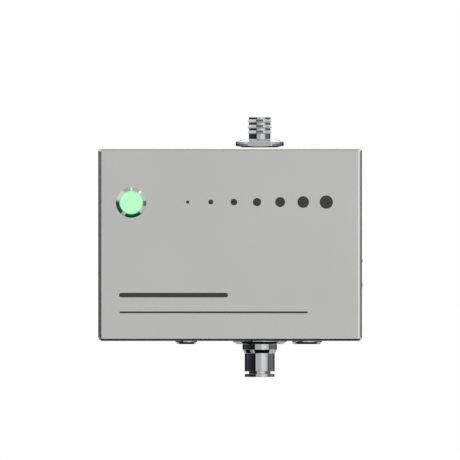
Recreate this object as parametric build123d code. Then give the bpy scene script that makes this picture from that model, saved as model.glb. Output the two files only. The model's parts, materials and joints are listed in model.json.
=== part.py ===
from build123d import *

import math
import os

# Remote airborne particle counter: a wall-mounted sensor in a metal box.
#
# Sample air enters the barbed fitting on top, crosses a laser beam inside the optics
# block and leaves through the push-in fitting underneath, where a vacuum line pulls it.
# Two round sockets beside that fitting carry power and data, and a lamp on the front
# shows the state.
#
# Frame, in millimetres: +Z up, -Y towards the front face, origin at the middle of the
# rear plate's outer face, which is what the counter is fastened by.

# ---------------------------------------------------------------- driving dimensions
BODY_WIDTH = 127.0
BODY_HEIGHT = 93.2
BODY_DEPTH = 56.0
WALL = 2.5
EDGE_RADIUS = 2.0
PLATE = 3.0
GASKET = 0.8

FLOW_X, FLOW_Y = 14.25, -28.0  # the axis that both hose fittings and the air stream share
POWER_X, DATA_X = -21.1, 36.95  # socket axes, on the same depth as the flow axis
LAMP_X, LAMP_Z = -47.65, 20.1
BEAM_Z = 24.0  # height at which the laser crosses the air stream
SIDE_SCREW_Z = (-8.0, -19.6)
MOUNT_X, MOUNT_Z = 40.0, 25.0  # half spacings of the threaded mounting holes
STANDOFF_X, STANDOFF_Z = 46.0, 31.0
STANDOFF_LENGTH = 7.5
BOARD = 1.6
THREAD_GAP = 0.05  # screw threads are plain cylinders, this much clear of their holes

# ---------------------------------------------------------------- planes that follow
RIGHT = BODY_WIDTH / 2
TOP = BODY_HEIGHT / 2
FRONT = -BODY_DEPTH
RIM = -(PLATE + GASKET)  # where the housing's walls end at the back
INNER_RIGHT, INNER_TOP, INNER_FRONT = RIGHT - WALL, TOP - WALL, FRONT + WALL
BOARD_BACK = -(PLATE + STANDOFF_LENGTH)
BOARD_FACE = BOARD_BACK - BOARD

# Turns that point a piece modelled along +Z another way.
TO_FRONT = Rot(90, 0, 0)
TO_REAR = Rot(-90, 0, 0)
TO_RIGHT = Rot(0, 90, 0)
TO_LEFT = Rot(0, -90, 0)

parts = {}


# ---------------------------------------------------------------- shared shapes
def turned(*outline):
    """A lathe-turned piece: (radius, height) corners, revolved about Z."""
    return revolve(Plane.XZ * make_face(Polyline(*outline, close=True)), Axis.Z)


def rod(radius, low, high, x=0.0, y=0.0):
    """A round bar from Z = low to Z = high."""
    return Pos(x, y, (low + high) / 2) * Cylinder(radius, high - low)


def block(x_range, y_range, z_range):
    """A box given by its limits on each axis."""
    size = [high - low for low, high in (x_range, y_range, z_range)]
    middle = [(low + high) / 2 for low, high in (x_range, y_range, z_range)]
    return Pos(*middle) * Box(*size)


def hexagon_bar(across_flats, low, high):
    """A six-sided bar with one flat facing the front."""
    outline = RegularPolygon(across_flats / 2, 6, major_radius=False)
    return Pos(0, 0, low) * extrude(outline, high - low)


def o_ring(radius, section, low, high):
    """A rubber ring squeezed flat between a groove's floor and the face it seals on."""
    ring = Pos(0, 0, (low + high) / 2) * Torus(radius, section / 2)
    return ring & rod(radius + section, low, high)


def lock_nut(across_flats, thickness, bore):
    """A thin hexagon nut on Z = 0, its corners chamfered at both faces."""
    corner = across_flats / math.sqrt(3)
    rim = 0.95 * across_flats / 2
    slope = (corner - rim) * math.tan(math.radians(25))
    envelope = turned(
        (bore, 0),
        (rim, 0),
        (corner, slope),
        (corner, thickness - slope),
        (rim, thickness),
        (bore, thickness),
    )
    return hexagon_bar(across_flats, 0, thickness) & envelope


def pan_screw(shank_radius, length, head_radius, head_height, drive):
    """A round-headed screw: head above Z = 0, shank below it, hexagon socket."""
    head = turned(
        (0, 0),
        (head_radius, 0),
        (head_radius, 0.45 * head_height),
        (0.7 * head_radius, head_height),
        (0, head_height),
    )
    return head + rod(shank_radius, -length, 0) - hexagon_bar(drive, 0.4 * head_height, head_height)


def copies(piece, places):
    """The same piece at several (x, y, z) places, as one group of separate solids."""
    return Compound(children=[Pos(*place) * piece for place in places])


def facing_rear(outline, rear, depth):
    """A flat outline drawn in X and Z, from Y = rear, extruded depth towards the front."""
    plane = Plane((0, rear, 0), x_dir=(1, 0, 0), z_dir=(0, -1, 0))
    return extrude(plane * mirror(outline, Plane.XZ), depth)


def lead(name, diameter, *points):
    """An inner cable: straight runs joined by arcs as large as the runs allow."""
    corners = [Vector(*point) for point in points]
    radii = []
    for before, corner, after in zip(corners, corners[1:], corners[2:]):
        turn = (corner - before).get_angle(after - corner)
        shorter = min((corner - before).length, (after - corner).length)
        radii.append(0.45 * shorter / math.tan(math.radians(turn / 2)))
    path = FilletPolyline(*corners, radius=radii)
    section = Plane(path @ 0, z_dir=path % 0) * Circle(diameter / 2)
    parts[name] = sweep(section, path)
    print(name, "radii", [round(radius, 1) for radius in radii])


# ---------------------------------------------------------------- housing
BOSS_RADIUS = 3.75
PLATE_SCREW = 1.5  # M3
PLATE_SCREW_LENGTH = 10.0
INSERT_BORE = 1.65  # M4, at the crests of the thread
INSERT_SHANK = 2.7
LAMP_HOLE = 6.1
INLET_HOLE = 5.1
OUTLET_HOLE = 6.7
POWER_HOLE = 4.5
DATA_HOLE = 6.55
SIDE_HOLE = 1.1

boss_x, boss_z = INNER_RIGHT - BOSS_RADIUS, INNER_TOP - BOSS_RADIUS
screw_places = [(x, z) for x in (-boss_x, 0, boss_x) for z in (-boss_z, boss_z)]
mount_places = [(x, z) for x in (-MOUNT_X, MOUNT_X) for z in (-MOUNT_Z, MOUNT_Z)]
standoff_places = [(x, z) for x in (-STANDOFF_X, STANDOFF_X) for z in (-STANDOFF_Z, STANDOFF_Z)]


def boss_outline(x, z):
    """A round screw boss with webs to the walls beside it, seen along Y."""
    to_wall = math.copysign(BOSS_RADIUS / 2, z)
    outline = Pos(x, z) * Circle(BOSS_RADIUS)
    outline += Pos(x, z + to_wall) * Rectangle(2 * BOSS_RADIUS, BOSS_RADIUS)
    if x:
        to_side = math.copysign(BOSS_RADIUS / 2, x)
        outline += Pos(x + to_side, z) * Rectangle(BOSS_RADIUS, 2 * BOSS_RADIUS)
    return outline


def make_front_housing():
    """Front face and four walls machined from one piece, open at the back."""
    shell = block((-RIGHT, RIGHT), (FRONT, RIM), (-TOP, TOP))
    rear_edges = shell.edges().group_by(Axis.Y)[-1]
    shell = fillet(shell.edges() - rear_edges, EDGE_RADIUS)
    cavity = block((-INNER_RIGHT, INNER_RIGHT), (INNER_FRONT, RIM), (-INNER_TOP, INNER_TOP))
    shell -= fillet(cavity.edges().filter_by(Axis.Y), WALL / 2)
    for x, z in screw_places:
        length = RIM - INNER_FRONT if x else 12.0
        shell += facing_rear(boss_outline(x, z), RIM, length)
    for x, z in screw_places:
        shell -= facing_rear(Pos(x, z) * Circle(PLATE_SCREW), RIM, PLATE_SCREW_LENGTH)
    shell -= Pos(LAMP_X, FRONT, LAMP_Z) * TO_FRONT * rod(LAMP_HOLE, -WALL, 0)
    shell -= rod(INLET_HOLE, INNER_TOP, TOP, FLOW_X, FLOW_Y)
    for x, radius in ((FLOW_X, OUTLET_HOLE), (POWER_X, POWER_HOLE), (DATA_X, DATA_HOLE)):
        shell -= rod(radius, -TOP, -INNER_TOP, x, FLOW_Y)
    for z in SIDE_SCREW_Z:
        shell -= Pos(RIGHT, FLOW_Y, z) * TO_RIGHT * rod(SIDE_HOLE, -WALL, 0)
    return shell


def make_rear_plate():
    """The cover that closes the back, with countersinks and holes for the inserts."""
    plate = facing_rear(RectangleRounded(BODY_WIDTH, BODY_HEIGHT, EDGE_RADIUS), 0, PLATE)
    plate = chamfer(plate.faces().sort_by(Axis.Y)[-1].outer_wire().edges(), 0.5)
    countersink = turned((0, 0), (3.15, 0), (1.65, -1.5), (1.65, -PLATE), (0, -PLATE))
    for x, z in screw_places:
        plate -= Pos(x, 0, z) * TO_REAR * countersink
    for x, z in mount_places:
        plate -= facing_rear(Pos(x, z) * Circle(INSERT_SHANK), 0, PLATE)
    return plate


def make_rear_gasket():
    """A die-cut rubber frame with a lobe round each screw."""
    margin, land = 0.5, 4.2
    outline = RectangleRounded(BODY_WIDTH - 2 * margin, BODY_HEIGHT - 2 * margin, EDGE_RADIUS)
    outline -= RectangleRounded(BODY_WIDTH - 2 * land, BODY_HEIGHT - 2 * land, EDGE_RADIUS)
    for x, z in screw_places:
        outline += Pos(x, z) * Circle(BOSS_RADIUS)
    for x, z in screw_places:
        outline -= Pos(x, z) * Circle(PLATE_SCREW + 0.2)
    return facing_rear(outline, -PLATE, GASKET)


def make_rear_plate_screws():
    """Countersunk screws, their heads just below the plate's face."""
    shank = PLATE_SCREW - THREAD_GAP
    screw = turned(
        (0, -0.1),
        (3.0, -0.1),
        (shank, -3.1 + shank),
        (shank, -PLATE_SCREW_LENGTH),
        (0, -PLATE_SCREW_LENGTH),
    )
    screw -= hexagon_bar(2.0, -1.5, 0)
    return copies(TO_REAR * screw, [(x, 0, z) for x, z in screw_places])


def make_mount_inserts():
    """Blind nuts pressed into the rear plate, threaded for the wall bracket's screws."""
    insert = turned(
        (0, -8.5),
        (3.6, -8.5),
        (4.2, -7.9),
        (4.2, -PLATE),
        (INSERT_SHANK, -PLATE),
        (INSERT_SHANK, 0),
        (INSERT_BORE, 0),
        (INSERT_BORE, -7.5),
        (0, -7.5),
    )
    return copies(TO_REAR * insert, [(x, 0, z) for x, z in mount_places])


parts["front_housing"] = make_front_housing()
parts["rear_plate"] = make_rear_plate()
parts["rear_gasket"] = make_rear_gasket()
parts["rear_plate_screws"] = make_rear_plate_screws()
parts["mount_inserts"] = make_mount_inserts()

# ---------------------------------------------------------------- status lamp
LAMP_BEZEL = 7.35
LAMP_LENS = 5.45
LAMP_RISE = 1.5
LENS_RISE = 0.5  # how far the lens stands out of the bezel
LAMP_BARREL = 6.0
LAMP_CORE = 4.85
LAMP_LENGTH = 22.0


def make_lamp():
    """A panel lamp: bevelled bezel on a threaded barrel, lit lens, seal and nut."""
    at_front = Pos(LAMP_X, FRONT, LAMP_Z) * TO_FRONT
    lens_top = LAMP_RISE + LENS_RISE
    bezel = turned(
        (LAMP_LENS, -1.2),
        (LAMP_LENS, LAMP_RISE),
        (LAMP_LENS + 0.2, LAMP_RISE),
        (LAMP_BEZEL, 0.3),
        (LAMP_BEZEL, 0),
        (LAMP_BARREL, 0),
        (LAMP_BARREL, -LAMP_LENGTH),
        (LAMP_CORE, -LAMP_LENGTH),
        (LAMP_CORE, -1.2),
    )
    lens = turned(
        (0, -6),
        (LAMP_CORE, -6),
        (LAMP_CORE, -1.2),
        (LAMP_LENS, -1.2),
        (LAMP_LENS, lens_top - 0.3),
        (LAMP_LENS - 0.3, lens_top),
        (0, lens_top),
    )
    # The emitter's dome stands on a potted base that ends in a nose round the cable.
    emitter = turned(
        (0, -LAMP_LENGTH - 3),
        (1.5, -LAMP_LENGTH - 3),
        (2.6, -LAMP_LENGTH),
        (LAMP_CORE, -LAMP_LENGTH),
        (LAMP_CORE, -16),
        (2.5, -16),
        (2.5, -12.8),
        (1.8, -11.6),
        (0, -11.0),
    )
    seal_top, nut_top = -WALL, -WALL - 1.0
    seal = rod(7.6, nut_top, seal_top) - rod(LAMP_BARREL + THREAD_GAP, nut_top, seal_top)
    nut = Pos(0, 0, nut_top - 3.0) * lock_nut(16.0, 3.0, LAMP_BARREL + THREAD_GAP)
    parts["lamp_bezel"] = at_front * bezel
    parts["lamp_lens"] = at_front * lens
    parts["lamp_emitter"] = at_front * emitter
    parts["lamp_seal"] = at_front * seal
    parts["lamp_nut"] = at_front * nut


make_lamp()

# ---------------------------------------------------------------- inlet fitting
BARB_COUNT = 3
BARB_PITCH = 2.67
BARB_LAND, BARB_FLARE, BARB_CREST_LENGTH, BARB_STEP = 0.82, 1.2, 0.25, 0.4
BARB_CREST = 5.75
BARB_STEM = 5.2
INLET_TIP = 61.2
INLET_BORE = 3.6
INLET_FLATS = 20.1  # across the two flats for a spanner
INLET_FLANGE_TOP = 50.5
INLET_SEAL = (7.2, 8.7)
INLET_THREAD = 5.0  # M10 x 1
BLOCK_TOP = INNER_TOP - 0.5  # a gasket fills the gap to the housing's top wall
PORT_DEPTH = 9.0


def barb_outline():
    """Corners of the hose barbs from the tip down: land, flare, crest and a step back."""
    first_land = 1.1
    corners = [(BARB_STEM - 0.2, INLET_TIP), (BARB_STEM, INLET_TIP - 0.2)]
    for index in range(BARB_COUNT):
        flare_top = INLET_TIP - first_land - index * BARB_PITCH
        crest_top = flare_top - BARB_FLARE
        crest_end = crest_top - BARB_CREST_LENGTH
        corners += [
            (BARB_STEM, flare_top),
            (BARB_CREST, crest_top),
            (BARB_CREST, crest_end),
            (BARB_STEM, crest_end - BARB_STEP),
        ]
    return corners


def make_inlet():
    """Barbed hose tail, flange with two flats and threaded stub, turned in one piece."""
    at_top = Pos(FLOW_X, FLOW_Y)
    stub_end = BLOCK_TOP - PORT_DEPTH + 0.5
    tail = turned(
        (INLET_BORE, INLET_TIP),
        *barb_outline(),
        (BARB_STEM, TOP + 1),
        (INLET_THREAD, TOP + 1),
        (INLET_THREAD, stub_end),
        (INLET_BORE, stub_end),
    )
    # The rim is slightly barrelled, and the seal's outer edge shows under it.
    seal_inner, seal_outer = INLET_SEAL
    flange = turned(
        (INLET_THREAD, TOP),
        (seal_inner, TOP),
        (seal_inner, TOP + 1.0),
        (seal_outer, TOP + 1.0),
        (seal_outer, TOP + 0.2),
        (8.9, TOP + 0.2),
        (11.55, TOP + 0.7),
        (11.62, TOP + 1.6),
        (11.62, TOP + 2.0),
        (11.45, TOP + 2.75),
        (7.2, INLET_FLANGE_TOP),
        (INLET_THREAD, INLET_FLANGE_TOP),
    )
    half = INLET_FLATS / 2
    flange &= block((-12, 12), (-half, half), (TOP, INLET_FLANGE_TOP))
    parts["inlet_fitting"] = at_top * (flange + tail)
    parts["inlet_seal"] = at_top * (rod(seal_outer, TOP, TOP + 1.0) - rod(seal_inner, TOP, TOP + 1.0))


make_inlet()

# ---------------------------------------------------------------- optics block
BLOCK_X = (FLOW_X - 21.0, FLOW_X + 21.0)
BLOCK_Y = (-41.5, -16.5)
BLOCK_BOTTOM = 8.0
JET_SEAT = 4.0
LASER_SEAT = 6.0
LASER_DEPTH = 10.0
TRAP_DEPTH = 9.0
LIGHT_BORE = 8.0
MIRROR_SEAT = 9.0
MIRROR_DEPTH = 5.0
TUBE_RADIUS = 5.0
TUBE_PORT_DEPTH = 7.0
DETECTOR_SCREW = 11.5  # half spacing of the detector board's two screws
JET_LOW = BLOCK_BOTTOM + TUBE_PORT_DEPTH
JET_HIGH = BLOCK_TOP - PORT_DEPTH

at_beam = Pos(0, FLOW_Y, BEAM_Z)
behind_block = Pos(FLOW_X, BLOCK_Y[1], BEAM_Z) * TO_REAR
before_block = Pos(FLOW_X, BLOCK_Y[0], BEAM_Z) * TO_FRONT


def make_optics_block():
    """A solid block with three crossing bores: air down, laser across, light to the back."""
    body = block(BLOCK_X, BLOCK_Y, (BLOCK_BOTTOM, BLOCK_TOP))
    body = chamfer(body.edges().filter_by(Axis.Z), 1.5)
    body -= rod(INLET_THREAD + THREAD_GAP, JET_HIGH, BLOCK_TOP, FLOW_X, FLOW_Y)
    body -= rod(JET_SEAT, JET_LOW, JET_HIGH, FLOW_X, FLOW_Y)
    body -= rod(TUBE_RADIUS + THREAD_GAP, BLOCK_BOTTOM, JET_LOW, FLOW_X, FLOW_Y)
    left, right = BLOCK_X
    body -= at_beam * TO_RIGHT * rod(LASER_SEAT, left, left + LASER_DEPTH)
    body -= at_beam * TO_RIGHT * rod(JET_SEAT, left, right)
    body -= at_beam * TO_RIGHT * rod(LASER_SEAT, right - TRAP_DEPTH, right)
    body -= behind_block * rod(LIGHT_BORE, BLOCK_Y[0] - BLOCK_Y[1], 0)
    body -= before_block * rod(MIRROR_SEAT, -MIRROR_DEPTH, 0)
    for x in (-DETECTOR_SCREW, DETECTOR_SCREW):
        body -= behind_block * rod(1.0, -5, 0, x)
    return body


def make_air_jets():
    """The jet that narrows the sample to a thin stream, and the cone that takes it in."""
    inlet = turned(
        (3.4, JET_HIGH),
        (JET_SEAT, JET_HIGH),
        (JET_SEAT, BEAM_Z + 6.0),
        (2.4, BEAM_Z + 2.2),
        (1.6, BEAM_Z + 2.2),
        (1.6, BEAM_Z + 6.5),
    )
    collector = turned(
        (3.4, JET_LOW),
        (JET_SEAT, JET_LOW),
        (JET_SEAT, BEAM_Z - 6.0),
        (3.0, BEAM_Z - 2.6),
        (2.2, BEAM_Z - 2.6),
        (2.2, BEAM_Z - 5.5),
    )
    parts["inlet_jet"] = Pos(FLOW_X, FLOW_Y) * inlet
    parts["collector_jet"] = Pos(FLOW_X, FLOW_Y) * collector


def make_laser():
    """A barrel in the block's left side, with a lens in front and the diode behind."""
    seated = Pos(BLOCK_X[0] + LASER_DEPTH, FLOW_Y, BEAM_Z) * TO_LEFT
    barrel = turned(
        (2.5, 0),
        (LASER_SEAT, 0),
        (LASER_SEAT, 11.5),
        (5.5, 11.8),
        (5.5, 13.2),
        (LASER_SEAT, 13.5),
        (LASER_SEAT, 23.5),
        (5.5, 24),
        (4, 24),
        (4, 3),
        (2.5, 3),
    )
    rise, rim = 0.7, 1.0
    bulge = (4.0**2 + rise**2) / (2 * rise)
    lens_end = 3 + 2 * rise + rim
    beam_lens = rod(4.0, 3, lens_end)
    beam_lens &= Pos(0, 0, 3 + bulge) * Sphere(bulge)
    beam_lens &= Pos(0, 0, lens_end - bulge) * Sphere(bulge)
    diode = turned(
        (0, 16),
        (2.3, 16),
        (2.3, 19),
        (4, 19),
        (4, 24),
        (2.2, 24),
        (1.3, 26),
        (0, 26),
    )
    parts["laser_barrel"] = seated * barrel
    parts["beam_lens"] = seated * beam_lens
    parts["laser_diode"] = seated * diode


def make_beam_trap():
    """A black plug with a conical hole that swallows the beam."""
    plug = turned(
        (0, 2),
        (8, 2),
        (8, 0),
        (LASER_SEAT, 0),
        (LASER_SEAT, -TRAP_DEPTH),
        (5, -TRAP_DEPTH),
        (0, -1),
    )
    return Pos(BLOCK_X[1], FLOW_Y, BEAM_Z) * TO_RIGHT * plug


def make_mirror():
    """A dished mirror behind the front cap gathers the scattered light."""
    dish_radius, dish_depth = 20.0, 2.0
    dish = rod(MIRROR_SEAT, -MIRROR_DEPTH, 0)
    dish -= Pos(0, 0, -MIRROR_DEPTH - dish_radius + dish_depth) * Sphere(dish_radius)
    cap = turned((0, 0), (10.5, 0), (10.5, 1.5), (10, 2), (6, 2), (5.5, 1.2), (0, 1.2))
    for x in (-8, 8):
        cap -= rod(0.8, 0.8, 2, x)
    parts["light_mirror"] = before_block * dish
    parts["mirror_cap"] = before_block * cap


def make_detector():
    """A small board on the block's back, its photodiode looking down the light bore."""
    board = block((-15, 15), (-9.5, 9.5), (0, BOARD))
    for x in (-DETECTOR_SCREW, DETECTOR_SCREW):
        board -= rod(1.1, 0, BOARD, x)
    cell = turned((0, 0), (4.6, 0), (4.6, -0.6), (4.1, -0.6), (4.1, -4.2), (3.2, -4.2), (3.2, -3.9), (0, -3.9))
    link_depth = BOARD_FACE - BLOCK_Y[1] - BOARD
    link = block((-6, 6), (-8.5, -5.5), (BOARD, BOARD + link_depth))
    heads = [(x, 0, BOARD) for x in (-DETECTOR_SCREW, DETECTOR_SCREW)]
    parts["detector_board"] = behind_block * board
    parts["detector_cell"] = behind_block * cell
    parts["detector_connector"] = behind_block * link
    parts["detector_screws"] = behind_block * copies(pan_screw(0.95, 5.0, 1.9, 1.2, 1.3), heads)


def make_block_gasket():
    """The rubber sheet between the block's top and the housing's top wall."""
    x_range = (BLOCK_X[0] + 3, BLOCK_X[1] - 3)
    y_range = (BLOCK_Y[0] + 3, BLOCK_Y[1] - 3)
    sheet = block(x_range, y_range, (BLOCK_TOP, INNER_TOP))
    return sheet - rod(INLET_HOLE + 0.5, BLOCK_TOP, INNER_TOP, FLOW_X, FLOW_Y)


parts["optics_block"] = make_optics_block()
parts["block_gasket"] = make_block_gasket()
parts["beam_trap"] = make_beam_trap()
make_air_jets()
make_laser()
make_mirror()
make_detector()

# ---------------------------------------------------------------- outlet fitting
FLANGE_RADIUS, FLANGE_BASE = 12.95, -48.1
COLLAR_RADIUS, COLLAR_BASE = 8.3, -50.7
SLEEVE_RADIUS, SLEEVE_TOP, SLEEVE_BASE = 7.24, -52.5, -61.25
RING_RADIUS, RING_TOP, RING_BASE = 7.15, -62.4, -63.95
TUBE_BORE = 4.08  # takes 8 mm tube
TUBE_STOP = -47.4
NECK_RADIUS = 5.2
SOCKET_RADIUS = 6.2  # bore that holds the seal, the collet and its guide
SEAL_TOP, SEAL_BASE = -50.5, -52.7
GUIDE_TOP = -56.95
CLAW_TOP = -54.1
CLAW_RADIUS = 6.0
STUB_RADIUS, STUB_TOP = 6.5, -33.9
ORIFICE_TOP, ORIFICE_BASE = -38.4, -41.9
ORIFICE_SEAT = 3.5


def make_outlet_body():
    """The flanged body: stub through the housing above, tube socket below."""
    groove = rod(11.2, -TOP - 1.0, -TOP) - rod(9.6, -TOP - 1.0, -TOP)
    body = turned(
        (3, ORIFICE_BASE),
        (ORIFICE_SEAT, ORIFICE_BASE),
        (ORIFICE_SEAT, ORIFICE_TOP),
        (TUBE_RADIUS + THREAD_GAP, ORIFICE_TOP),
        (TUBE_RADIUS + THREAD_GAP, STUB_TOP),
        (STUB_RADIUS, STUB_TOP),
        (STUB_RADIUS, -TOP),
        (FLANGE_RADIUS, -TOP),
        (FLANGE_RADIUS, -TOP - 0.2),
        (11.0, FLANGE_BASE),
        (COLLAR_RADIUS, FLANGE_BASE),
        (COLLAR_RADIUS, COLLAR_BASE),
        (SLEEVE_RADIUS, SLEEVE_TOP),
        (SLEEVE_RADIUS, SLEEVE_BASE + 0.2),
        (SLEEVE_RADIUS - 0.2, SLEEVE_BASE),
        (SOCKET_RADIUS, SLEEVE_BASE),
        (SOCKET_RADIUS, SEAL_TOP),
        (TUBE_BORE, SEAL_TOP),
        (TUBE_BORE, TUBE_STOP),
        (3, TUBE_STOP),
    )
    return body - groove


def make_release_ring():
    """The collet: a pressing flange, a neck and six sprung claws that grip the tube."""
    ring = turned(
        (TUBE_BORE + 0.5, RING_BASE),
        (RING_RADIUS - 0.2, RING_BASE),
        (RING_RADIUS, RING_BASE + 0.2),
        (RING_RADIUS, RING_TOP - 0.15),
        (RING_RADIUS - 0.15, RING_TOP),
        (NECK_RADIUS, RING_TOP),
        (NECK_RADIUS, GUIDE_TOP - 0.45),
        (5.45, GUIDE_TOP + 0.05),
        (CLAW_RADIUS, GUIDE_TOP + 0.05),
        (CLAW_RADIUS, CLAW_TOP - 1.2),
        (5.2, CLAW_TOP),
        (TUBE_BORE, CLAW_TOP),
        (TUBE_BORE, RING_BASE + 0.5),
    )
    for angle in (0, 60, 120):
        ring -= Rot(0, 0, angle) * block((-7, 7), (-0.45, 0.45), (GUIDE_TOP - 1.45, CLAW_TOP))
    return ring


def make_outlet():
    """Push-in tube fitting, with the orifice that sets the flow and the nut inside."""
    below = Pos(FLOW_X, FLOW_Y)
    seal = turned(
        (4.2, SEAL_BASE),
        (SOCKET_RADIUS, SEAL_BASE),
        (SOCKET_RADIUS, SEAL_TOP),
        (4.7, SEAL_TOP),
        (4.12, SEAL_TOP - 1.1),
    )
    guide = turned(
        (NECK_RADIUS + 0.1, SLEEVE_BASE),
        (SOCKET_RADIUS, SLEEVE_BASE),
        (SOCKET_RADIUS, GUIDE_TOP),
        (5.55, GUIDE_TOP),
        (NECK_RADIUS + 0.1, GUIDE_TOP - 0.5),
    )
    orifice = turned(
        (0.7, ORIFICE_BASE),
        (ORIFICE_SEAT, ORIFICE_BASE),
        (ORIFICE_SEAT, ORIFICE_TOP),
        (2.4, ORIFICE_TOP),
        (0.7, ORIFICE_TOP - 1.7),
    )
    nut = Pos(0, 0, -INNER_TOP) * lock_nut(19.0, 4.0, STUB_RADIUS + THREAD_GAP)
    parts["outlet_body"] = below * make_outlet_body()
    parts["outlet_seal"] = below * o_ring(10.4, 1.2, -TOP - 1.0, -TOP)
    parts["outlet_nut"] = below * nut
    parts["flow_orifice"] = below * orifice
    parts["tube_seal"] = below * seal
    parts["collet_guide"] = below * guide
    parts["release_ring"] = below * make_release_ring()


make_outlet()

# ---------------------------------------------------------------- exhaust line
TAP_Z = (5.0, 0.0)
TAP_LENGTH = 6.0
SENSOR_X = (44.5, 56.0)
SENSOR_Y = (FLOW_Y - 6, FLOW_Y + 6)
SHELF_Z = -3.5
BRACKET = 1.5


def make_exhaust_tube():
    """The pipe from the optics block to the outlet, with two nipples for the sensor."""
    low, high = ORIFICE_TOP, JET_LOW - 0.2
    pipe = rod(TUBE_RADIUS, low, high)
    for z in TAP_Z:
        pipe += Pos(0, 0, z) * TO_RIGHT * rod(1.2, 3, TUBE_RADIUS + TAP_LENGTH)
    pipe -= rod(3.5, low, high)
    for z in TAP_Z:
        pipe -= Pos(0, 0, z) * TO_RIGHT * rod(0.7, 0, TUBE_RADIUS + TAP_LENGTH)
    return Pos(FLOW_X, FLOW_Y) * pipe


def make_flow_sensor():
    """A pressure sensor with two nipples that face the pipe's, and one for its cable."""
    low_x = SENSOR_X[0]
    sensor = block(SENSOR_X, SENSOR_Y, (SHELF_Z, SHELF_Z + 15))
    sensor = chamfer(sensor.edges().filter_by(Axis.X), 1.0)
    for z in TAP_Z:
        nipple = rod(1.2, 0, TAP_LENGTH) - rod(0.7, 1, TAP_LENGTH)
        sensor += Pos(low_x, FLOW_Y, z) * TO_LEFT * nipple
    return sensor


def make_sensor_bracket():
    """A folded shelf: one leg screwed to the right wall, the other under the sensor."""
    y_range = (FLOW_Y - 8, FLOW_Y + 8)
    leg = block((INNER_RIGHT - BRACKET, INNER_RIGHT), y_range, (-24, SHELF_Z))
    shelf = block((SENSOR_X[0], INNER_RIGHT), y_range, (SHELF_Z - BRACKET, SHELF_Z))
    bracket = leg + shelf
    outer_fold = bracket.edges().filter_by(Axis.Y).group_by(Axis.Z)[-1].sort_by(Axis.X)[-1]
    bracket = fillet(outer_fold, BRACKET)
    for z in SIDE_SCREW_Z:
        bracket -= Pos(INNER_RIGHT, FLOW_Y, z) * TO_RIGHT * rod(1.0, -BRACKET, 0)
    return bracket


def make_tap_hoses():
    """Two short rubber hoses pushed over the facing nipples."""
    start, end = FLOW_X + TUBE_RADIUS + 1, SENSOR_X[0] - 1
    hose = rod(2.0, start, end) - rod(1.2, start, end)
    return copies(TO_RIGHT * hose, [(0, FLOW_Y, z) for z in TAP_Z])


def make_side_screws():
    """The two small dome-headed screws in the right wall that hold the shelf."""
    head, rise = 1.9, 0.32
    dome = (head**2 + rise**2) / (2 * rise)
    screw = (Pos(0, 0, rise - dome) * Sphere(dome)) & rod(head, 0, rise)
    screw += rod(0.95, -5.5, 0)
    screw -= hexagon_bar(1.3, -0.6, rise)
    return copies(TO_RIGHT * screw, [(RIGHT, FLOW_Y, z) for z in SIDE_SCREW_Z])


parts["exhaust_tube"] = make_exhaust_tube()
parts["flow_sensor"] = make_flow_sensor()
parts["sensor_bracket"] = make_sensor_bracket()
parts["tap_hoses"] = make_tap_hoses()
parts["side_screws"] = make_side_screws()

# ---------------------------------------------------------------- sockets
SOCKET_FACE = -TOP - 1.5
SOCKET_WEB = (-39.9, -38.4)  # the wall that the insert rests on
SOCKET_TOP = -32.9
SOCKET_NOSE = 3.0  # length of the potted nose round the cable


def make_socket(name, x, flange, body, thread, nose, contact_places, nut_flats, cable):
    """A round cable socket: threaded shell, contact insert, contacts, seal and nut."""
    at_base = Pos(x, FLOW_Y)
    web_low, web_high = SOCKET_WEB
    rear_bore = body - 1.2
    neck = nose + 0.3
    shell = turned(
        (thread, SOCKET_FACE + 0.3),
        (thread + 0.3, SOCKET_FACE),
        (flange - 1.0, SOCKET_FACE),
        (flange, SOCKET_FACE + 1.0),
        (flange, -TOP),
        (body, -TOP),
        (body, SOCKET_TOP),
        (rear_bore, SOCKET_TOP),
        (rear_bore, web_high),
        (neck, web_high),
        (neck, web_low),
        (thread, web_low),
    )
    insert_face = SOCKET_FACE + 0.8
    insert = rod(nose, insert_face, web_low) + rod(neck, web_low, web_high)
    insert += rod(rear_bore, web_high, SOCKET_TOP)
    insert += Pos(0, 0, SOCKET_TOP + SOCKET_NOSE / 2) * Cone(rear_bore - 0.6, cable, SOCKET_NOSE)
    insert -= block((-0.5, 0.5), (-nose, -nose + 0.7), (insert_face, web_low))
    contact = rod(0.55, insert_face + 0.3, SOCKET_TOP - 1) - rod(0.4, insert_face + 0.3, web_low - 1)
    contacts = []
    for place in contact_places:
        insert -= Pos(*place) * rod(0.55, insert_face, SOCKET_TOP - 1)
        contacts.append(at_base * Pos(*place) * contact)
    seal = rod(nut_flats / 2, -INNER_TOP, -INNER_TOP + 1.0)
    seal -= rod(body + THREAD_GAP, -INNER_TOP, -INNER_TOP + 1.0)
    nut = Pos(0, 0, -INNER_TOP + 1.0) * lock_nut(nut_flats, 2.5, body + THREAD_GAP)
    parts[f"{name}_socket_shell"] = at_base * shell
    parts[f"{name}_socket_insert"] = at_base * insert
    parts[f"{name}_socket_contacts"] = Compound(children=contacts)
    parts[f"{name}_socket_seal"] = at_base * seal
    parts[f"{name}_socket_nut"] = at_base * nut


def contact_circle(radius, count):
    """Places of contacts evenly spread on a circle, none of them in front of the key."""
    angles = [math.radians(45 + 360 * index / count) for index in range(count)]
    return [(radius * math.cos(angle), radius * math.sin(angle)) for angle in angles]


POWER_CABLE, DATA_CABLE = 1.5, 1.7  # radii
make_socket("power", POWER_X, 5.2, 4.4, 3.46, 2.6, contact_circle(1.4, 4), 11.0, POWER_CABLE)
make_socket("data", DATA_X, 7.25, 6.45, 5.46, 4.15, contact_circle(2.5, 4) + [(0, 0)], 17.0, DATA_CABLE)

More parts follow.
